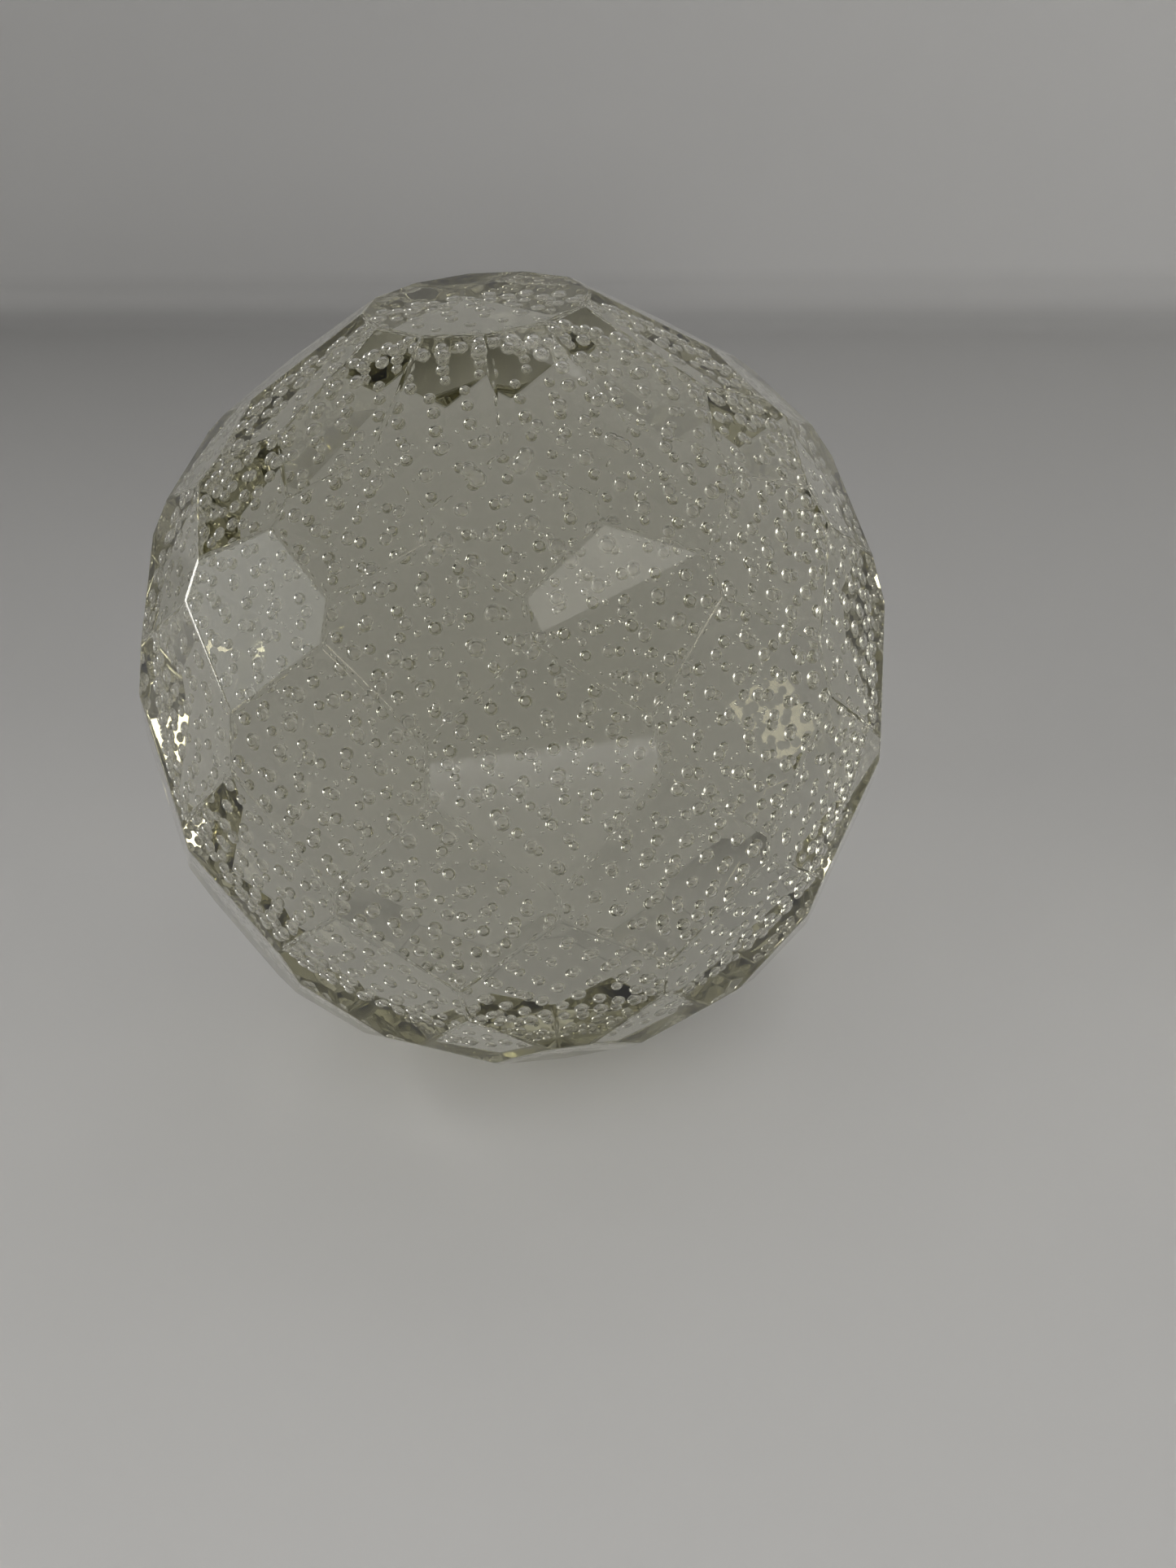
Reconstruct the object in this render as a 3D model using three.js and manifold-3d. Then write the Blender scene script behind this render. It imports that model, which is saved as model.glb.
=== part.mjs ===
// Ball paperweight of clear glass, in millimetres, +Z up.
// It is built as it is blown: a small core gather is rolled over spikes, which leave rows of pits,
// and dipped in the pot again, so the next gather shuts air in the pits. Two more gathers follow,
// and the last one is ground all over into flat facets. Every gather ends in a neck at the ground
// base, where the iron was broken off. The origin is at the centre of the base.
import * as THREE from "three";
import { mergeVertices } from "three/addons/utils/BufferGeometryUtils.js";
import Module from "manifold-3d";

const wasm = await Module();
wasm.setup();

// Driving dimensions of the cut ball
const blankRadius = 40; // the blown ball before it is cut
const baseCut = 4; // ground off the blank to make the flat base
const tableCut = 0.5; // ground off the blank to make the small top facet
const facetsPerRow = 12;
// Rows of facets from the top down: tilt of the facet above the equator in degrees, and how deep
// the wheel goes below the blank's surface.
const facetRows = [
  { tilt: 58, cut: 1.0 },
  { tilt: 48, cut: 1.0 },
  { tilt: 30, cut: 1.5 },
  { tilt: 13.5, cut: 2.4 },
  { tilt: -2, cut: 2.4 },
  { tilt: -19, cut: 2.1 },
  { tilt: -31.5, cut: 0.9 },
  { tilt: -44.5, cut: 0.6 },
  { tilt: -59, cut: 0.7 },
];

// Driving dimensions of the gathers, which share one centre
const gathers = [
  { name: "core_gather", radius: 10, neckRadius: 4, pitRows: 6, pitsPerRow: 12, tint: 0xd3d8c6 },
  { name: "second_gather", radius: 18, neckRadius: 8, pitRows: 8, pitsPerRow: 16, tint: 0xd8dccd },
  { name: "third_gather", radius: 27, neckRadius: 12, pitRows: 9, pitsPerRow: 20, tint: 0xdde0d4 },
];
const pitRadius = 0.75; // half the width of a pit at its mouth
const pitDepth = 0.7;
const pitTwist = 9; // each row of pits is turned on from the one above, in degrees
const pitReach = 62; // the rows run from this far above the equator to this far below, in degrees
const fewestPits = 4; // in a row near a pole
const clearance = 0.3; // between one gather and the next
const ringSegments = 24; // sides of a gather's round sections
const arcSegments = 12; // steps from pole to neck

const casingTint = 0xe2e5da;
const centreHeight = blankRadius - baseCut;
const overrun = 1; // how far a cutter runs on past the face that it opens
const blankSide = 2.5 * blankRadius; // the block that the facets are cut from, clear of the ball
const wheelSide = 4 * blankRadius; // wide enough to clear the whole block beyond a facet

const glass = (tint) => new THREE.MeshStandardMaterial({ color: tint, roughness: 0.03, metalness: 0 });

// Booleans work on closed meshes whose vertices are shared
function toSolid(geometry) {
  const bare = geometry.clone();
  bare.deleteAttribute("normal");
  bare.deleteAttribute("uv");
  const merged = mergeVertices(bare, 1e-4);
  return new wasm.Manifold(
    new wasm.Mesh({
      numProp: 3,
      vertProperties: new Float32Array(merged.attributes.position.array),
      triVerts: new Uint32Array(merged.index.array),
    }),
  );
}

function toMesh(solid, name, tint) {
  const { vertProperties, triVerts } = solid.getMesh();
  const geometry = new THREE.BufferGeometry();
  geometry.setAttribute("position", new THREE.BufferAttribute(vertProperties, 3));
  geometry.setIndex(new THREE.BufferAttribute(triVerts, 1));
  geometry.computeVertexNormals();
  const mesh = new THREE.Mesh(geometry, glass(tint));
  mesh.name = name;
  return mesh;
}

// A ball with a straight neck down to below the base, as one turned body about Z.
// past takes a cutter's neck on below the base.
function ballWithNeck(radius, neckRadius, past) {
  const neckAngle = Math.asin(neckRadius / radius);
  const outline = [];
  for (let step = 0; step <= arcSegments; step++) {
    const angle = Math.PI - ((Math.PI - neckAngle) * step) / arcSegments;
    const x = step === 0 ? 0 : radius * Math.sin(angle);
    outline.push(new THREE.Vector2(x, -radius * Math.cos(angle)));
  }
  outline.push(new THREE.Vector2(neckRadius, -centreHeight - past));
  outline.push(new THREE.Vector2(0, -centreHeight - past));
  outline.reverse();
  const turned = new THREE.LatheGeometry(outline, ringSegments);
  turned.rotateX(Math.PI / 2);
  turned.translate(0, 0, centreHeight);
  return toSolid(turned);
}

// The pit that one spike leaves, a square pyramid pointing at the ball's centre
function pit(radius, tilt, turn) {
  const spike = new THREE.OctahedronGeometry(1);
  spike.scale(pitRadius, pitDepth, pitRadius);
  const outward = new THREE.Vector3(0, 1, 0);
  const place = new THREE.Vector3(
    Math.cos(tilt) * Math.sin(turn),
    -Math.cos(tilt) * Math.cos(turn),
    Math.sin(tilt),
  );
  spike.applyQuaternion(new THREE.Quaternion().setFromUnitVectors(outward, place));
  place.multiplyScalar(radius);
  spike.translate(place.x, place.y, place.z + centreHeight);
  return toSolid(spike);
}

// Rows of pits round a gather, fewer where the ball narrows, none on the neck
function pits(gather) {
  const solids = [];
  const neckTilt = Math.acos((gather.neckRadius + 2 * pitRadius) / gather.radius);
  for (let row = 0; row < gather.pitRows; row++) {
    const tilt = THREE.MathUtils.degToRad(pitReach * (1 - (2 * row) / (gather.pitRows - 1)));
    if (tilt < -neckTilt) continue;
    const count = Math.max(fewestPits, Math.round(gather.pitsPerRow * Math.cos(tilt)));
    const firstTurn = THREE.MathUtils.degToRad(pitTwist * row);
    for (let i = 0; i < count; i++) {
      solids.push(pit(gather.radius, tilt, firstTurn + (2 * Math.PI * i) / count));
    }
  }
  return wasm.Manifold.union(solids);
}

// One gather: its pitted ball and neck, hollow where the gather inside it sits
function gatherSolid(index) {
  const gather = gathers[index];
  let solid = ballWithNeck(gather.radius, gather.neckRadius, 0).subtract(pits(gather));
  if (index > 0) solid = solid.subtract(hollowFor(gathers[index - 1]));
  return solid;
}

function hollowFor(inner) {
  return ballWithNeck(inner.radius + clearance, inner.neckRadius + clearance, overrun);
}

// The wheel that grinds one facet: a block whose near face lies on the facet's plane
function wheel(tilt, turn, reach) {
  const block = new THREE.BoxGeometry(wheelSide, wheelSide, wheelSide);
  block.translate(0, -reach - wheelSide / 2, 0);
  block.rotateX(-tilt);
  block.rotateZ(turn);
  block.translate(0, 0, centreHeight);
  return toSolid(block);
}

// The last gather, ground into rows of facets. Every other row is turned by half a facet.
function casingSolid() {
  const blank = new THREE.BoxGeometry(blankSide, blankSide, blankSide);
  blank.translate(0, 0, centreHeight);
  let solid = toSolid(blank);
  solid = solid.subtract(wheel(Math.PI / 2, 0, blankRadius - tableCut));
  solid = solid.subtract(wheel(-Math.PI / 2, 0, centreHeight));
  facetRows.forEach((row, rowIndex) => {
    const tilt = THREE.MathUtils.degToRad(row.tilt);
    for (let i = 0; i < facetsPerRow; i++) {
      const turn = (2 * Math.PI * (i + 0.5 * ((rowIndex + 1) % 2))) / facetsPerRow;
      solid = solid.subtract(wheel(tilt, turn, blankRadius - row.cut));
    }
  });
  return solid.subtract(hollowFor(gathers[gathers.length - 1]));
}

const paperweight = new THREE.Group();
gathers.forEach((gather, index) => {
  paperweight.add(toMesh(gatherSolid(index), gather.name, gather.tint));
});
paperweight.add(toMesh(casingSolid(), "faceted_casing", casingTint));

export default paperweight;
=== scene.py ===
import math
import random

import bpy
from mathutils import Euler, Matrix, Vector


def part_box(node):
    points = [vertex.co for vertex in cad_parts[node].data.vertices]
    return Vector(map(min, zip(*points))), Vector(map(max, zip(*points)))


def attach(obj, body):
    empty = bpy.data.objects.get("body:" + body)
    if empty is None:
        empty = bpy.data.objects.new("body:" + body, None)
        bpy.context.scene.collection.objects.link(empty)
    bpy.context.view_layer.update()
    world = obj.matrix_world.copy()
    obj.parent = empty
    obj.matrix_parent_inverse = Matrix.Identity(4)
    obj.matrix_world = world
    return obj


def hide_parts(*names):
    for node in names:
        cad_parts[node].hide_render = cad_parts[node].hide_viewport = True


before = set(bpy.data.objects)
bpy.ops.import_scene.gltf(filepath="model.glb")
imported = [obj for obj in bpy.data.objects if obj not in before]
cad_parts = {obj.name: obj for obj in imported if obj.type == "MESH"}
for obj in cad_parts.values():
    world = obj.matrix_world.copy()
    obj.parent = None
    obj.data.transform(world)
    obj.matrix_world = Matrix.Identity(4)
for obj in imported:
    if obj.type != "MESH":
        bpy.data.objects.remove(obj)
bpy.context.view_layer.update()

casingLow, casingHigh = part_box("faceted_casing")


def deselectAll():
    if bpy.context.object and bpy.context.object.mode != "OBJECT":
        bpy.ops.object.mode_set(mode="OBJECT")
    bpy.ops.object.select_all(action="DESELECT")


def applyPlace(piece):
    deselectAll()
    piece.select_set(True)
    bpy.context.view_layer.objects.active = piece
    bpy.ops.object.transform_apply(location=True, rotation=True, scale=True)


# Way out of the ball's centre: tilt above the equator, turn from the front to the right
def direction(tilt, turn):
    return Vector((math.cos(tilt) * math.sin(turn), -math.cos(tilt) * math.cos(turn), math.sin(tilt)))


# The cut ball. Rows run from the top down: tilt above the equator in degrees, depth of cut.
cutBall = {
    "blankRadius": 0.040,
    "tableCut": 0.0005,
    "facetsPerRow": 12,
    "rows": [
        (58, 0.0010),
        (48, 0.0010),
        (30, 0.0015),
        (13.5, 0.0024),
        (-2, 0.0024),
        (-19, 0.0021),
        (-31.5, 0.0009),
        (-44.5, 0.0006),
        (-59, 0.0007),
    ],
    "edgeWidth": 0.00035,
    "edgeSteps": 3,
    "weld": 0.00002,
}
ballCentre = Vector((0, 0, casingHigh.z - cutBall["blankRadius"] + cutBall["tableCut"]))

camera = {
    "azimuth": -2.2,
    "elevation": 27.6,
    "distance": 0.1718,
    "yaw": 4.63,
    "pitch": 31.54,
    "roll": -4.92,
    "lens": 37.36,
}


def makeCamera():
    side = direction(math.radians(camera["elevation"]), math.radians(camera["azimuth"]))
    data = bpy.data.cameras.new("camera")
    data.lens = camera["lens"]
    data.sensor_width = 36
    data.clip_start = 0.01
    data.clip_end = 20
    holder = bpy.data.objects.new("camera", data)
    bpy.context.scene.collection.objects.link(holder)
    turn = Euler((math.radians(90 - camera["pitch"]), 0, -math.radians(camera["yaw"]))).to_matrix()
    turn = turn @ Matrix.Rotation(math.radians(camera["roll"]), 3, "Z")
    holder.matrix_world = Matrix.Translation(ballCentre + side * camera["distance"]) @ turn.to_4x4()
    bpy.context.scene.camera = holder
    print("camera made")


# A pale sheet under the ball, bent up behind it, with shade painted into its colour: darker towards the
# back, darkest at the wall's foot, and darker again high up the wall
backdrop = {
    "drop": 0.0002,
    "reach": 2.0,
    "wallDistance": 0.252,
    "wallHeight": 1.2,
    "wallTurn": -21.7,
    "bend": 0.010,
    "bendSteps": 8,
    "sideShade": 0.65,  # painted side shade: how much paler the wall is on its right than on its left, per metre
    "sideReach": 0.30,  # the side shade grows no further than this from the middle
    "sideFrom": 0.05,  # it starts this far behind the ball
    "shadeFrom": -0.12,
    "shadeTo": 0.56,
    # share of the way from shadeFrom to shadeTo, up the wall included, and paleness there; this is painted
    # shade, darkest at the wall's foot
    "shade": [(0.0, 0.84), (0.25, 0.54), (0.50, 0.40), (0.545, 0.37), (0.565, 0.67), (0.70, 0.68),
              (0.85, 0.60), (1.0, 0.55)],
    "tint": (1.0, 0.995, 0.985),
    "mottle": 0.02,
    "mottleScale": 9,
    "roughness": 0.6,
}


# Paints shade into the sheet's colour. back is the way to the wall and across the way along it, both level
def backdropShadePaint(back, across):
    material = bpy.data.materials.new("paleSheet")
    material.use_nodes = True
    nodes, links = material.node_tree.nodes, material.node_tree.links
    shader = nodes["Principled BSDF"]
    shader.inputs["Roughness"].default_value = backdrop["roughness"]
    place = nodes.new("ShaderNodeTexCoord")
    along = nodes.new("ShaderNodeVectorMath")
    along.operation = "DOT_PRODUCT"
    along.inputs[1].default_value = back + Vector((0, 0, 1))
    depth = nodes.new("ShaderNodeMapRange")
    depth.inputs["From Min"].default_value = backdrop["shadeFrom"]
    depth.inputs["From Max"].default_value = backdrop["shadeTo"]
    # painted shade: the sheet's paleness falls from the front towards the wall's foot and rises again up
    # the wall
    ramp = nodes.new("ShaderNodeValToRGB")
    stops = ramp.color_ramp.elements
    while len(stops) < len(backdrop["shade"]):
        stops.new(0.5)
    for stop, (spot, paleness) in zip(stops, backdrop["shade"]):
        stop.position = spot
        stop.color = (*[paleness * part for part in backdrop["tint"]], 1)
    patches = nodes.new("ShaderNodeTexNoise")
    patches.inputs["Scale"].default_value = backdrop["mottleScale"]
    patches.inputs["Detail"].default_value = 3
    spread = nodes.new("ShaderNodeMapRange")
    spread.inputs["To Min"].default_value = 1 - backdrop["mottle"]
    spread.inputs["To Max"].default_value = 1 + backdrop["mottle"]
    # painted side shade: paler on the right and darker on the left, growing from behind the ball to the
    # wall
    aside = nodes.new("ShaderNodeVectorMath")
    aside.operation = "DOT_PRODUCT"
    aside.inputs[1].default_value = across
    slant = nodes.new("ShaderNodeMapRange")
    slant.inputs["From Min"].default_value = -backdrop["sideReach"]
    slant.inputs["From Max"].default_value = backdrop["sideReach"]
    slant.inputs["To Min"].default_value = -backdrop["sideReach"] * backdrop["sideShade"]
    slant.inputs["To Max"].default_value = backdrop["sideReach"] * backdrop["sideShade"]
    near = nodes.new("ShaderNodeMapRange")
    near.inputs["From Min"].default_value = backdrop["sideFrom"]
    near.inputs["From Max"].default_value = backdrop["wallDistance"]
    sideShadeFactor = nodes.new("ShaderNodeMath")
    sideShadeFactor.operation = "MULTIPLY_ADD"
    sideShadeFactor.inputs[2].default_value = 1.0
    both = nodes.new("ShaderNodeMath")
    both.operation = "MULTIPLY"
    tone = nodes.new("ShaderNodeVectorMath")
    tone.operation = "SCALE"
    links.new(place.outputs["Object"], along.inputs[0])
    links.new(place.outputs["Object"], aside.inputs[0])
    links.new(place.outputs["Object"], patches.inputs["Vector"])
    links.new(along.outputs["Value"], depth.inputs["Value"])
    links.new(along.outputs["Value"], near.inputs["Value"])
    links.new(depth.outputs["Result"], ramp.inputs["Fac"])
    links.new(patches.outputs["Fac"], spread.inputs["Value"])
    links.new(ramp.outputs["Color"], tone.inputs[0])
    links.new(aside.outputs["Value"], slant.inputs["Value"])
    links.new(slant.outputs["Result"], sideShadeFactor.inputs[0])
    links.new(near.outputs["Result"], sideShadeFactor.inputs[1])
    links.new(sideShadeFactor.outputs["Value"], both.inputs[0])
    links.new(spread.outputs["Result"], both.inputs[1])
    links.new(both.outputs["Value"], tone.inputs["Scale"])
    links.new(tone.outputs["Vector"], shader.inputs["Base Color"])
    return material


def makeBackdrop():
    turn = math.radians(backdrop["wallTurn"])
    across = Vector((math.cos(turn), math.sin(turn), 0))
    back = Vector((-math.sin(turn), math.cos(turn), 0))
    deselectAll()
    bpy.ops.mesh.primitive_plane_add(size=2 * backdrop["reach"], location=(0, 0, -backdrop["drop"]))
    sheet = bpy.context.object
    sheet.name = "backdrop"
    sheet.rotation_euler.z = turn
    applyPlace(sheet)
    for vertex in sheet.data.vertices:
        vertex.select = vertex.co.dot(back) > 0
        if vertex.select:
            vertex.co += back * (backdrop["wallDistance"] - backdrop["reach"])
    for edge in sheet.data.edges:
        edge.select = all(sheet.data.vertices[end].select for end in edge.vertices)
    foot = backdrop["wallDistance"] - 0.001
    bpy.ops.object.mode_set(mode="EDIT")
    bpy.ops.mesh.select_mode(type="EDGE")
    bpy.ops.mesh.extrude_region_move(TRANSFORM_OT_translate={"value": (0, 0, backdrop["wallHeight"])})
    bpy.ops.mesh.select_all(action="DESELECT")
    bpy.ops.object.mode_set(mode="OBJECT")
    for edge in sheet.data.edges:
        ends = [sheet.data.vertices[end].co for end in edge.vertices]
        edge.select = all(end.dot(back) > foot and end.z < 0.01 for end in ends)
    bpy.ops.object.mode_set(mode="EDIT")
    bpy.ops.mesh.bevel(offset=backdrop["bend"], segments=backdrop["bendSteps"], affect="EDGES")
    bpy.ops.mesh.select_all(action="SELECT")
    bpy.ops.mesh.normals_make_consistent(inside=False)
    bpy.ops.object.mode_set(mode="OBJECT")
    bpy.ops.object.shade_smooth_by_angle(angle=math.radians(30))
    sheet.data.materials.append(backdropShadePaint(back, across))
    print("backdrop made:", len(sheet.data.polygons), "faces")


# Soft daylight. Azimuth 0 is behind the ball and 90 is its right. A lamp seen in "glass" lights no
# floor, one seen in "floor" only lights the backdrop, and one seen in "all" does both.
daylight = {
    "ambient": (0.575, 0.575, 0.575),
    "lamps": [
        {"name": "skylight", "azimuth": 20, "elevation": 78, "width": 0.50, "height": 0.50,
         "power": 4.3, "colour": (1.0, 0.99, 0.97), "seenIn": "floor"},
        {"name": "frontFill", "azimuth": 176, "elevation": 9, "width": 0.50, "height": 0.20,
         "power": 2.9, "colour": (1.0, 0.99, 0.98), "seenIn": "floor"},
        {"name": "cornerWindow", "azimuth": 141, "elevation": 34.8, "width": 0.16, "height": 0.10,
         "power": 0.085, "colour": (1.0, 0.97, 0.90), "seenIn": "all"},
        {"name": "sideWindow", "azimuth": -87, "elevation": 17, "width": 0.22, "height": 0.20,
         "power": 0.17, "colour": (0.98, 1.0, 1.0), "seenIn": "all"},
        {"name": "backWindow", "azimuth": -64, "elevation": 6, "width": 0.45, "height": 0.22,
         "power": 3.0, "colour": (1.0, 0.98, 0.94), "seenIn": "glass"},
    ],
    # Small warm panes that only show as glints near the ball's outline: azimuth, elevation
    "panes": [(-141.5, 26.5), (-123, 3), (-129, 51), (129, 15)],
    "pane": {"width": 0.08, "height": 0.08, "power": 0.09, "colour": (1.0, 0.93, 0.74),
             "seenIn": "glass"},
    "distance": 0.9,
}


def makeLamp(lamp):
    data = bpy.data.lights.new(lamp["name"], "AREA")
    data.shape = "RECTANGLE"
    data.size = lamp["width"]
    data.size_y = lamp["height"]
    data.energy = lamp["power"]
    data.color = lamp["colour"]
    light = bpy.data.objects.new(lamp["name"], data)
    bpy.context.scene.collection.objects.link(light)
    out = direction(math.radians(lamp["elevation"]), math.radians(180 - lamp["azimuth"]))
    light.location = ballCentre + out * daylight["distance"]
    light.rotation_euler = (-out).to_track_quat("-Z", "Y").to_euler()
    light.visible_diffuse = lamp["seenIn"] != "glass"
    light.visible_transmission = lamp["seenIn"] != "floor"
    light.visible_glossy = lamp["seenIn"] != "floor"


def makeDaylight():
    world = bpy.data.worlds.new("ambient")
    bpy.context.scene.world = world
    world.use_nodes = True
    world.node_tree.nodes["Background"].inputs["Color"].default_value = (*daylight["ambient"], 1)
    world.node_tree.nodes["Background"].inputs["Strength"].default_value = 1.0
    for lamp in daylight["lamps"]:
        makeLamp(lamp)
    for i, (azimuth, elevation) in enumerate(daylight["panes"]):
        place = {"name": "pane" + str(i + 1), "azimuth": azimuth, "elevation": elevation}
        makeLamp({**place, **daylight["pane"]})
    print("lights made")


# Old hand-polished glass, which is never quite even: faint smears, a slight swell and streaks of tone
polishLook = {
    "smearDetail": 2,
    "smearRoughness": 0.62,
    "smearDistortion": 0.8,
    "smearsFrom": 0.48,  # only the peaks of the noise are smeared
    "smearsTo": 0.72,
    "streakScale": 28,
    "streakDetail": 2,
    "streakDistortion": 1.5,
    "streakTint": (0.72, 0.74, 0.58),
}


def makePolish():
    group = bpy.data.node_groups.new("polish", "ShaderNodeTree")
    face = group.interface
    for name in ("Smear", "Smear Scale", "Swell Scale", "Tone"):
        face.new_socket(name, in_out="INPUT", socket_type="NodeSocketFloat")
    face.new_socket("Roughness", in_out="OUTPUT", socket_type="NodeSocketFloat")
    face.new_socket("Height", in_out="OUTPUT", socket_type="NodeSocketFloat")
    face.new_socket("Colour", in_out="OUTPUT", socket_type="NodeSocketColor")
    nodes, links = group.nodes, group.links
    given = nodes.new("NodeGroupInput")
    result = nodes.new("NodeGroupOutput")
    place = nodes.new("ShaderNodeTexCoord")
    smear = nodes.new("ShaderNodeTexNoise")
    smear.inputs["Detail"].default_value = polishLook["smearDetail"]
    smear.inputs["Roughness"].default_value = polishLook["smearRoughness"]
    smear.inputs["Distortion"].default_value = polishLook["smearDistortion"]
    onlySmears = nodes.new("ShaderNodeMapRange")
    onlySmears.inputs["From Min"].default_value = polishLook["smearsFrom"]
    onlySmears.inputs["From Max"].default_value = polishLook["smearsTo"]
    amount = nodes.new("ShaderNodeMath")
    amount.operation = "MULTIPLY"
    swell = nodes.new("ShaderNodeTexNoise")
    swell.inputs["Detail"].default_value = 1
    streak = nodes.new("ShaderNodeTexNoise")
    streak.inputs["Scale"].default_value = polishLook["streakScale"]
    streak.inputs["Detail"].default_value = polishLook["streakDetail"]
    streak.inputs["Distortion"].default_value = polishLook["streakDistortion"]
    depth = nodes.new("ShaderNodeMath")
    depth.operation = "MULTIPLY"
    tone = nodes.new("ShaderNodeMix")
    tone.data_type = "RGBA"
    tone.inputs[6].default_value = (1, 1, 1, 1)
    tone.inputs[7].default_value = (*polishLook["streakTint"], 1)
    links.new(place.outputs["Object"], smear.inputs["Vector"])
    links.new(place.outputs["Object"], swell.inputs["Vector"])
    links.new(place.outputs["Object"], streak.inputs["Vector"])
    links.new(given.outputs["Smear Scale"], smear.inputs["Scale"])
    links.new(given.outputs["Swell Scale"], swell.inputs["Scale"])
    links.new(smear.outputs["Fac"], onlySmears.inputs["Value"])
    links.new(onlySmears.outputs["Result"], amount.inputs[0])
    links.new(given.outputs["Smear"], amount.inputs[1])
    links.new(amount.outputs["Value"], result.inputs["Roughness"])
    links.new(swell.outputs["Fac"], result.inputs["Height"])
    links.new(streak.outputs["Fac"], depth.inputs[0])
    links.new(given.outputs["Tone"], depth.inputs[1])
    links.new(depth.outputs["Value"], tone.inputs[0])
    links.new(tone.outputs[2], result.inputs["Colour"])
    return group


# The tint is in the depth of the glass. swell is the height of the polish's waves in metres.
# A gather's own skin is fused to the next one, so it bends no light and only its bubbles show.
glassLook = {
    "tint": (0.705, 0.69, 0.515),
    "tintDensity": 11.0,
    "casing": {"ior": 1.5, "smear": 0.005, "smearScale": 60, "swellScale": 40, "swell": 0.000008,
               "tone": 0.04},
    "fused": {"ior": 1.0, "smear": 0.0, "smearScale": 60, "swellScale": 90, "swell": 0.0, "tone": 0.05},
    "bubble": {"ior": 1.5, "smear": 0.01, "smearScale": 400, "swellScale": 90, "swell": 0.0, "tone": 0.03},
}


def glassMaterial(name, look, polish, absorbs=False):
    material = bpy.data.materials.new(name)
    material.use_nodes = True
    nodes, links = material.node_tree.nodes, material.node_tree.links
    shader = nodes["Principled BSDF"]
    shader.inputs["Transmission Weight"].default_value = 1.0
    shader.inputs["IOR"].default_value = look["ior"]
    surface = nodes.new("ShaderNodeGroup")
    surface.node_tree = polish
    surface.inputs["Smear"].default_value = look["smear"]
    surface.inputs["Smear Scale"].default_value = look["smearScale"]
    surface.inputs["Swell Scale"].default_value = look["swellScale"]
    surface.inputs["Tone"].default_value = look["tone"]
    links.new(surface.outputs["Colour"], shader.inputs["Base Color"])
    links.new(surface.outputs["Roughness"], shader.inputs["Roughness"])
    if look["swell"]:
        bump = nodes.new("ShaderNodeBump")
        bump.inputs["Strength"].default_value = 1.0
        bump.inputs["Distance"].default_value = look["swell"]
        links.new(surface.outputs["Height"], bump.inputs["Height"])
        links.new(bump.outputs["Normal"], shader.inputs["Normal"])
    if absorbs:
        volume = nodes.new("ShaderNodeVolumeAbsorption")
        volume.inputs["Color"].default_value = (*glassLook["tint"], 1)
        volume.inputs["Density"].default_value = glassLook["tintDensity"]
        links.new(volume.outputs["Volume"], nodes["Material Output"].inputs["Volume"])
    return material


# Grinds one flat into the piece in hand
def grind(normal, reach):
    bpy.ops.mesh.select_all(action="SELECT")
    bpy.ops.mesh.bisect(plane_co=ballCentre + normal * reach, plane_no=normal, use_fill=True,
                        clear_outer=True, threshold=1e-7)


def makeCutBall(material):
    deselectAll()
    bpy.ops.mesh.primitive_cube_add(size=2.5 * cutBall["blankRadius"], location=ballCentre)
    ball = bpy.context.object
    ball.name = "facetedCasing"
    applyPlace(ball)
    bpy.ops.object.mode_set(mode="EDIT")
    grind(Vector((0, 0, 1)), cutBall["blankRadius"] - cutBall["tableCut"])
    grind(Vector((0, 0, -1)), ballCentre.z - casingLow.z)
    for row, (tilt, cut) in enumerate(cutBall["rows"]):
        for i in range(cutBall["facetsPerRow"]):
            turn = 2 * math.pi * (i + 0.5 * ((row + 1) % 2)) / cutBall["facetsPerRow"]
            grind(direction(math.radians(tilt), turn), cutBall["blankRadius"] - cut)
    bpy.ops.mesh.select_all(action="SELECT")
    bpy.ops.mesh.remove_doubles(threshold=cutBall["weld"])
    bpy.ops.mesh.dissolve_limited(angle_limit=math.radians(0.5))
    bpy.ops.mesh.select_all(action="SELECT")
    bpy.ops.mesh.bevel(offset=cutBall["edgeWidth"], segments=cutBall["edgeSteps"], affect="EDGES",
                       clamp_overlap=True, harden_normals=True)
    bpy.ops.object.mode_set(mode="OBJECT")
    ball.visible_shadow = False
    ball.data.materials.append(material)
    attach(ball, "root")
    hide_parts("faceted_casing")
    print("cut ball:", len(ball.data.polygons), "faces")


# The gathers under the cut one, each with the bubbles that lie at its face. bubble is their radius.
# The rows are up apart, and the bubbles in a row along apart.
gathers = [
    {"name": "thirdGather", "node": "third_gather", "slot": "third_glass",
     "bubble": 0.00074, "up": 0.0029, "along": 0.0038, "stray": 0.00016, "neck": 0.012, "shadow": False},
    {"name": "secondGather", "node": "second_gather", "slot": "second_glass",
     "bubble": 0.00020, "up": 0.0052, "along": 0.0015, "stray": 0.00030, "neck": 0.008, "shadow": True},
    {"name": "coreGather", "node": "core_gather", "slot": "core_glass",
     "bubble": 0.00040, "up": 0.0040, "along": 0.0045, "stray": 0.00020, "neck": 0.004, "shadow": True},
]
gatherShape = {
    "lean": (0, -5, 0),  # the iron was never quite upright, in degrees
    "reach": 76,  # the rows run this far above and below the gather's equator, in degrees
    "skin": 0.0015,  # glass over the bubbles
    "smallest": 0.8,
    "largest": 1.15,
    "fewest": 5,  # bubbles in a row near a pole
    "sides": 48,
    "rings": 24,
    "footGap": 0.0006,  # from the end of the neck to the base
    "footEdge": 0.0004,
}
bubbleShape = {
    "sides": 10,
    "rings": 6,
    "poleFrom": -0.95,  # the part that is drawn out
    "drawnOut": 0.12,
    "flattened": 0.94,
}


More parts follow.
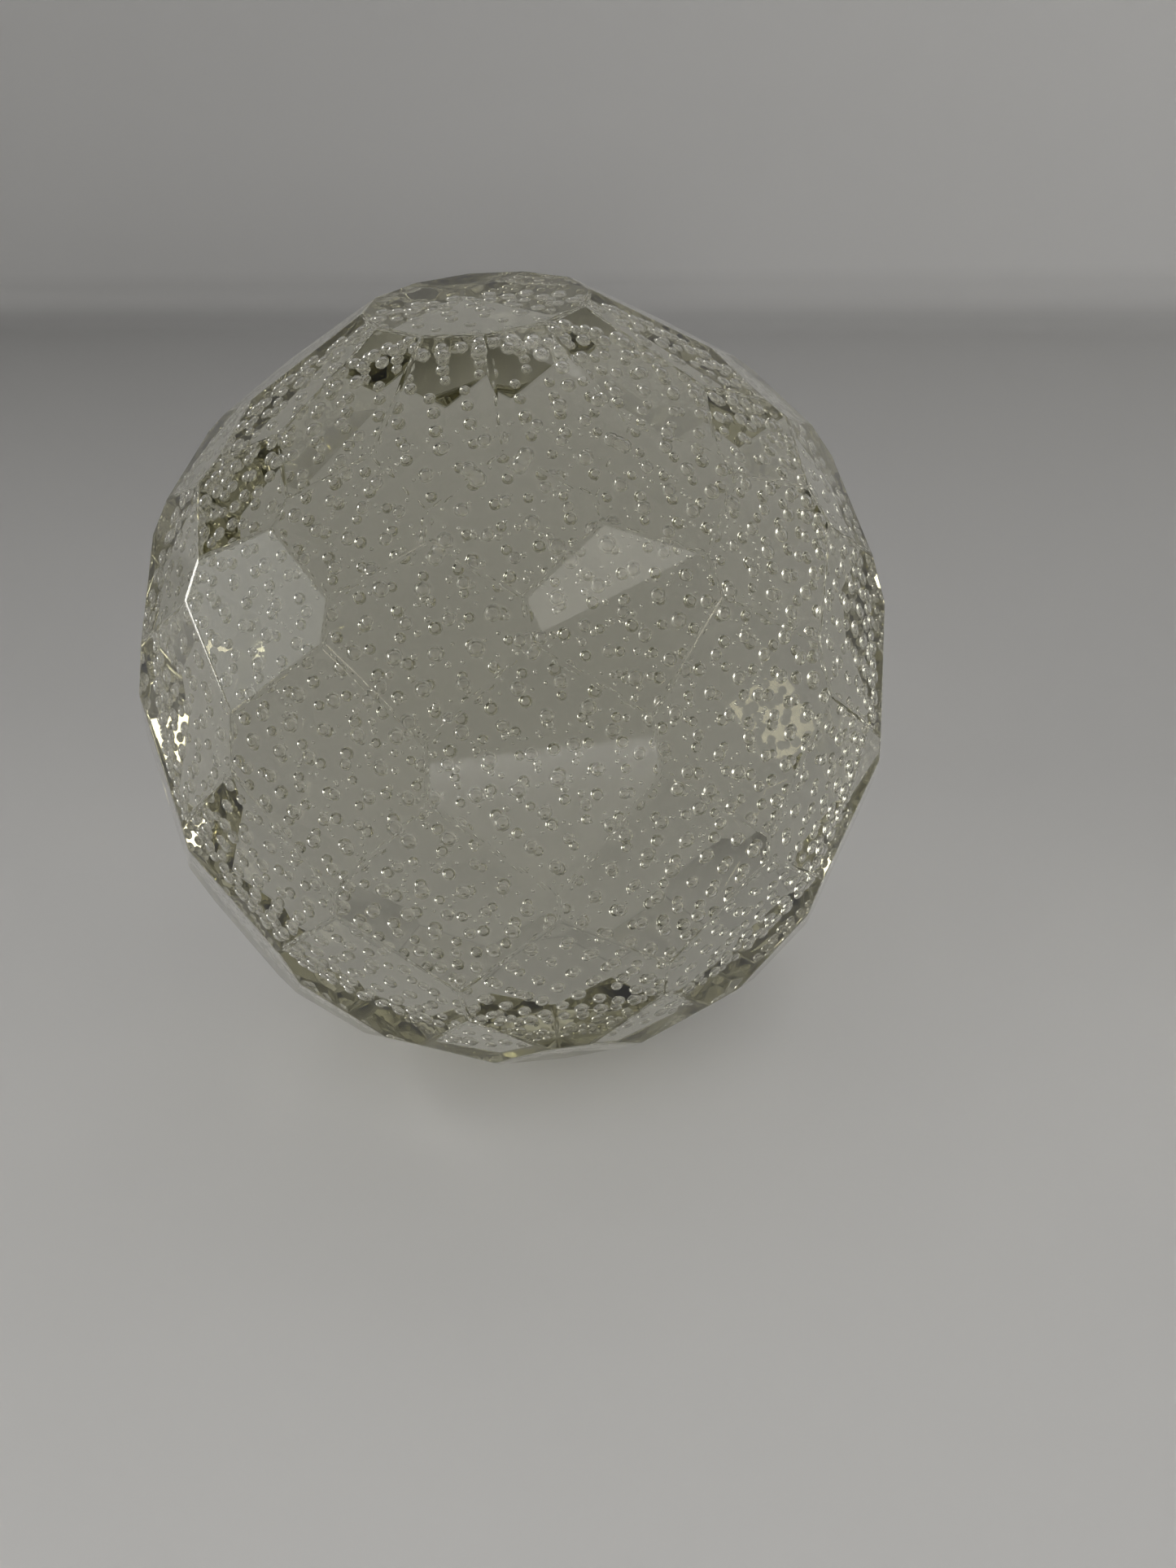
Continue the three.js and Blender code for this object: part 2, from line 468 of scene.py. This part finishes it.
def bubblePlaces(gather, radius, rng):
    lean = Euler([math.radians(a) for a in gatherShape["lean"]]).to_matrix()
    step = gather["up"] / radius
    rows = int(2 * math.radians(gatherShape["reach"]) / step)
    stray = gather["stray"] / radius
    places = []
    for row in range(rows):
        tilt = (row - (rows - 1) / 2) * step
        around = 2 * math.pi * radius * math.cos(tilt)
        count = max(gatherShape["fewest"], round(around / gather["along"]))
        for i in range(count):
            turn = 2 * math.pi * (i + 0.5 * row) / count
            spot = direction(tilt + rng.uniform(-stray, stray), turn + rng.uniform(-stray, stray))
            size = gather["bubble"] * rng.uniform(gatherShape["smallest"], gatherShape["largest"])
            places.append((lean @ spot, size))
    return places


# One bubble of radius 1: a void, so its faces point into it. It is drawn out a little where the
# spike went in, at -Z.
def makeBubble(fused, bubble):
    deselectAll()
    bpy.ops.mesh.primitive_uv_sphere_add(segments=bubbleShape["sides"], ring_count=bubbleShape["rings"],
                                         radius=1, location=(0, 0, 0))
    pattern = bpy.context.object
    bpy.ops.object.mode_set(mode="EDIT")
    bpy.ops.mesh.select_all(action="SELECT")
    bpy.ops.mesh.flip_normals()
    bpy.ops.mesh.select_all(action="DESELECT")
    bpy.ops.object.mode_set(mode="OBJECT")
    for vertex in pattern.data.vertices:
        vertex.select = vertex.co.z < bubbleShape["poleFrom"]
    bpy.ops.object.mode_set(mode="EDIT")
    bpy.ops.mesh.select_mode(type="VERT")
    bpy.ops.transform.translate(value=(0, 0, -bubbleShape["drawnOut"]))
    bpy.ops.mesh.select_all(action="SELECT")
    bpy.ops.transform.resize(value=(1, 1, bubbleShape["flattened"]))
    bpy.ops.object.mode_set(mode="OBJECT")
    bpy.ops.object.shade_smooth()
    pattern.data.materials.append(fused)
    pattern.data.materials.append(bubble)
    for polygon in pattern.data.polygons:
        polygon.material_index = 1
    return pattern


def makeGather(gather, pattern, fused, bubble, rng):
    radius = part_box(gather["node"])[1].z - ballCentre.z
    copies = []
    for spot, size in bubblePlaces(gather, radius, rng):
        copy = pattern.copy()
        copy.data = pattern.data.copy()
        copy.location = ballCentre + spot * radius
        copy.rotation_euler = spot.to_track_quat("Z", "Y").to_euler()
        copy.scale = (size, size, size)
        bpy.context.scene.collection.objects.link(copy)
        copies.append(copy)
    reach = radius + gatherShape["skin"]
    neck = gather["neck"]
    deselectAll()
    bpy.ops.mesh.primitive_uv_sphere_add(segments=gatherShape["sides"], ring_count=gatherShape["rings"],
                                         radius=reach, location=ballCentre)
    body = bpy.context.object
    applyPlace(body)
    bpy.ops.object.mode_set(mode="EDIT")
    grind(Vector((0, 0, -1)), math.sqrt(reach ** 2 - neck ** 2))
    bpy.ops.mesh.select_mode(type="FACE")
    bpy.ops.mesh.select_all(action="DESELECT")
    bpy.ops.object.mode_set(mode="OBJECT")
    for polygon in body.data.polygons:
        polygon.select = polygon.normal.z < -0.999
    root = min(vertex.co.z for vertex in body.data.vertices)
    bpy.ops.object.mode_set(mode="EDIT")
    drop = root - casingLow.z - gatherShape["footGap"]
    bpy.ops.mesh.extrude_region_move(TRANSFORM_OT_translate={"value": (0, 0, -drop)})
    bpy.ops.mesh.bevel(offset=gatherShape["footEdge"], segments=2, affect="EDGES")
    bpy.ops.mesh.select_all(action="SELECT")
    bpy.ops.mesh.normals_make_consistent(inside=False)
    bpy.ops.object.mode_set(mode="OBJECT")
    bpy.ops.object.shade_smooth_by_angle(angle=math.radians(30))
    body.data.materials.append(fused)
    body.data.materials.append(bubble)
    deselectAll()
    for copy in copies:
        copy.select_set(True)
    body.select_set(True)
    bpy.context.view_layer.objects.active = body
    bpy.ops.object.join()
    body.name = gather["name"]
    body.visible_shadow = gather["shadow"]
    applyPlace(body)
    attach(body, "root")
    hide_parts(gather["node"])
    print(gather["name"] + ":", len(copies), "bubbles,", len(body.data.polygons), "faces")


def setRender():
    scene = bpy.context.scene
    scene.view_settings.view_transform = "Standard"
    scene.view_settings.look = "None"
    scene.cycles.max_bounces = 120
    scene.cycles.transmission_bounces = 120
    scene.cycles.glossy_bounces = 16
    scene.cycles.diffuse_bounces = 4
    scene.cycles.caustics_refractive = True
    scene.cycles.caustics_reflective = True
    scene.cycles.blur_glossy = 0.0
    scene.cycles.sample_clamp_indirect = 6.0


makeCamera()
makeBackdrop()
makeDaylight()
setRender()
polish = makePolish()
casingGlass = glassMaterial("casingGlass", glassLook["casing"], polish, absorbs=True)
fusedGlass = glassMaterial("fusedGlass", glassLook["fused"], polish)
bubbleSkin = glassMaterial("bubbleSkin", glassLook["bubble"], polish)
makeCutBall(casingGlass)
rng = random.Random(7)
bubblePattern = makeBubble(fusedGlass, bubbleSkin)
for gather in gathers:
    makeGather(gather, bubblePattern, fusedGlass, bubbleSkin, rng)
bpy.data.objects.remove(bubblePattern)
